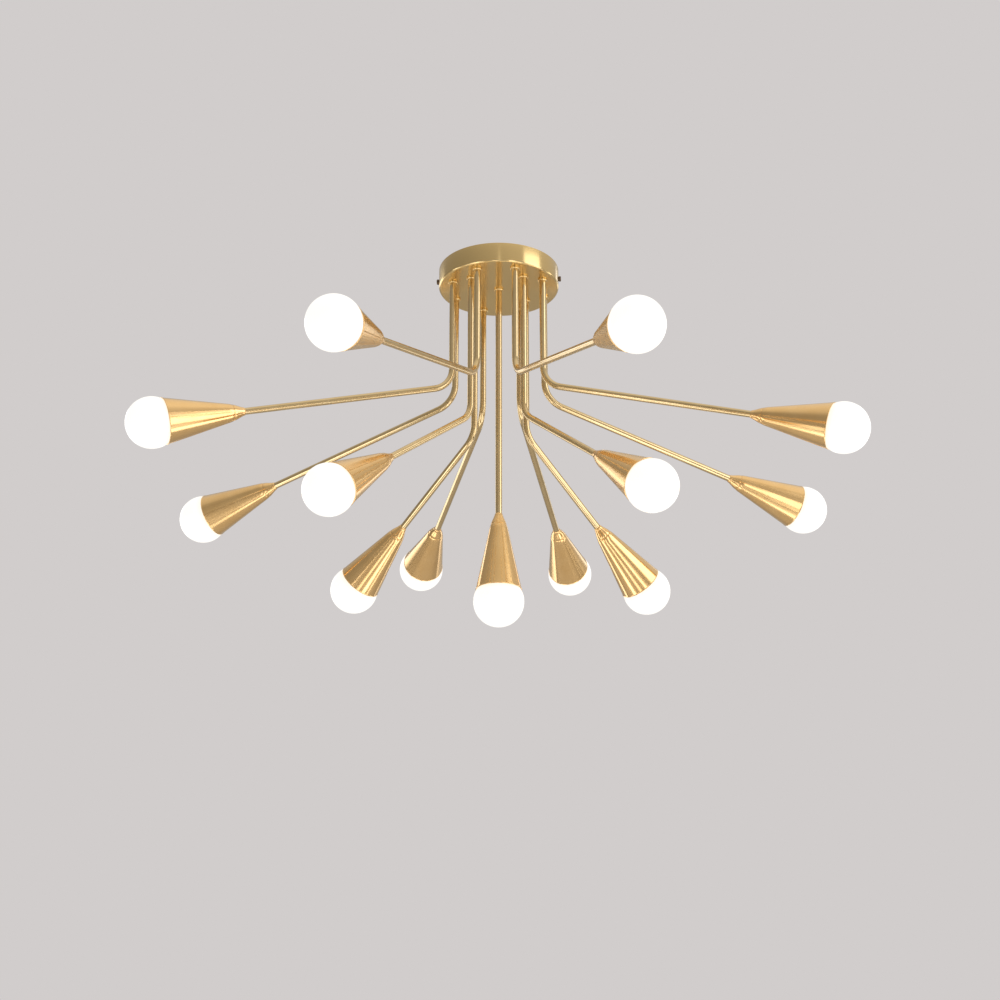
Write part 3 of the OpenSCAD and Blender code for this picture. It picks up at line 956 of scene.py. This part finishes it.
def studio_world():
    """A flat pale backdrop for the camera. The light and the reflections come from a soft room,
    which is dimmer on the left."""
    world = bpy.data.worlds.new("studio")
    bpy.context.scene.world = world
    world.use_nodes = True
    nodes, links = world.node_tree.nodes, world.node_tree.links
    nodes.clear()
    place = nodes.new("ShaderNodeTexCoord")
    split = nodes.new("ShaderNodeSeparateXYZ")
    links.new(place.outputs["Generated"], split.inputs[0])
    height = nodes.new("ShaderNodeMapRange")
    height.inputs["From Min"].default_value = -1
    height.inputs["From Max"].default_value = 1
    links.new(split.outputs["Z"], height.inputs["Value"])
    ramp = nodes.new("ShaderNodeValToRGB")
    links.new(height.outputs["Result"], ramp.inputs["Fac"])
    stops = [(0.0, 0.60), (0.48, 0.48), (0.56, 0.46), (0.68, 0.43), (0.80, 0.52), (0.92, 0.80), (1.0, 0.90)]
    ramp.color_ramp.elements[0].position = stops[0][0]
    ramp.color_ramp.elements[1].position = stops[-1][0]
    for position, level in stops[1:-1]:
        ramp.color_ramp.elements.new(position)
    for element, (position, level) in zip(ramp.color_ramp.elements, stops):
        element.color = (level, level * 0.95, level * 0.86, 1)
    sideways = nodes.new("ShaderNodeVectorMath")
    sideways.operation = "DOT_PRODUCT"
    links.new(place.outputs["Generated"], sideways.inputs[0])
    sideways.inputs[1].default_value = outward(math.radians(75))
    side = nodes.new("ShaderNodeMapRange")
    side.inputs["From Min"].default_value = -1
    side.inputs["From Max"].default_value = 1
    side.inputs["To Min"].default_value = 0.62
    side.inputs["To Max"].default_value = 1.25
    links.new(sideways.outputs["Value"], side.inputs["Value"])
    room = nodes.new("ShaderNodeBackground")
    links.new(ramp.outputs["Color"], room.inputs["Color"])
    links.new(side.outputs["Result"], room.inputs["Strength"])
    backdrop = nodes.new("ShaderNodeBackground")
    backdrop.inputs["Color"].default_value = (0.638, 0.610, 0.604, 1)
    seen = nodes.new("ShaderNodeLightPath")
    mix = nodes.new("ShaderNodeMixShader")
    links.new(seen.outputs["Is Camera Ray"], mix.inputs[0])
    links.new(room.outputs[0], mix.inputs[1])
    links.new(backdrop.outputs[0], mix.inputs[2])
    out = nodes.new("ShaderNodeOutputWorld")
    links.new(mix.outputs[0], out.inputs["Surface"])


# The photograph's view: from below, a little to the right of the lamp's own front
VIEW_AZIMUTH = math.radians(3.26)
VIEW_RISE = math.radians(21.33)
VIEW_DISTANCE = 2.2817
LENS = 69.3
AIM_DROP = 0.0741


def outward(azimuth, rise=0.0):
    """A direction round the lamp: 0 towards the camera's side, positive to the camera's right, in radians."""
    angle = VIEW_AZIMUTH + azimuth - math.pi / 2
    return Vector((math.cos(angle) * math.cos(rise), math.sin(angle) * math.cos(rise), math.sin(rise)))


def camera():
    """The camera at the photograph's place, aimed a little below the lamp's middle."""
    middle = (CAD_LO + CAD_HI) / 2
    aim = Vector((0.0015, 0, middle.z - AIM_DROP))
    place = aim + outward(0, -VIEW_RISE) * VIEW_DISTANCE
    data = bpy.data.cameras.new("camera")
    data.lens = LENS
    data.sensor_width = 36
    data.clip_end = 50
    seen = bpy.data.objects.new("camera", data)
    seen.location = place
    seen.rotation_euler = (aim - place).to_track_quat("-Z", "Y").to_euler()
    bpy.context.scene.collection.objects.link(seen)
    bpy.context.scene.camera = seen


def softbox(name, azimuth, rise, size, glow, distance=2.6):
    """A soft light that faces the lamp from a direction round it, in degrees.
    glow is how bright its face is."""
    middle = (CAD_LO + CAD_HI) / 2
    data = bpy.data.lights.new(name, "AREA")
    data.shape = "RECTANGLE"
    data.size, data.size_y = size
    data.energy = glow * math.pi * size[0] * size[1]
    light = bpy.data.objects.new(name, data)
    light.visible_camera = False
    light.location = middle + outward(math.radians(azimuth), math.radians(rise)) * distance
    light.rotation_euler = (middle - light.location).to_track_quat("-Z", "Y").to_euler()
    bpy.context.scene.collection.objects.link(light)


def studio_lights():
    """Softboxes round the lamp: name, azimuth, rise, size, glow and, for the low ones, distance."""
    softbox("key_right", 65, 5, (1.55, 2.8), 1.7)
    softbox("front_right", 24, -16, (0.55, 1.5), 1.7)
    softbox("front_line", 1, 14, (0.10, 1.4), 0.9)
    softbox("right", 107, -6, (0.35, 2.0), 1.8)
    softbox("low_right", 92, -44, (0.5, 0.8), 1.8, 1.7)
    softbox("low_front", 38, -44, (0.5, 0.7), 1.8, 1.7)
    softbox("under_right", 56, -70, (0.4, 1.1), 1.7, 1.6)
    softbox("under_left", -84, -62, (0.45, 1.1), 1.8, 1.6)
    softbox("low_left", -48, -38, (0.45, 0.9), 2.1, 1.7)
    softbox("front_low", -8, -50, (0.25, 0.9), 1.5, 1.7)
    softbox("left", -88, -22, (0.5, 1.2), 2.2)
    softbox("back_left", -136, 2, (1.1, 2.6), 1.4)
    softbox("back_right", 146, 8, (0.45, 2.4), 1.05)


def studio_floor():
    """A plain pale floor 1.5 m below the lamp."""
    size = 12
    corners = [(-size, -size, 0), (size, -size, 0), (size, size, 0), (-size, size, 0)]
    mesh = bpy.data.meshes.new("studio_floor")
    mesh.from_pydata(corners, [], [(0, 1, 2, 3)])
    mesh.materials.append(pale_floor())
    floor = bpy.data.objects.new("studio_floor", mesh)
    floor.location = (0, 0, CAD_LO.z - 1.5)
    bpy.context.scene.collection.objects.link(floor)


def studio():
    """Backdrop, camera, lights and floor."""
    studio_world()
    camera()
    studio_lights()
    studio_floor()
    bpy.context.scene.view_settings.view_transform = "Standard"


# ---- Everything in its place ----

studio()
canopy_cover()
side_screw("left", -1)
side_screw("right", 1)
collars()
locknuts()
for lamp in LAMPS:
    tube(lamp)
    shade(lamp)
    lampholder(lamp)
    bulb(lamp)
inner_parts()
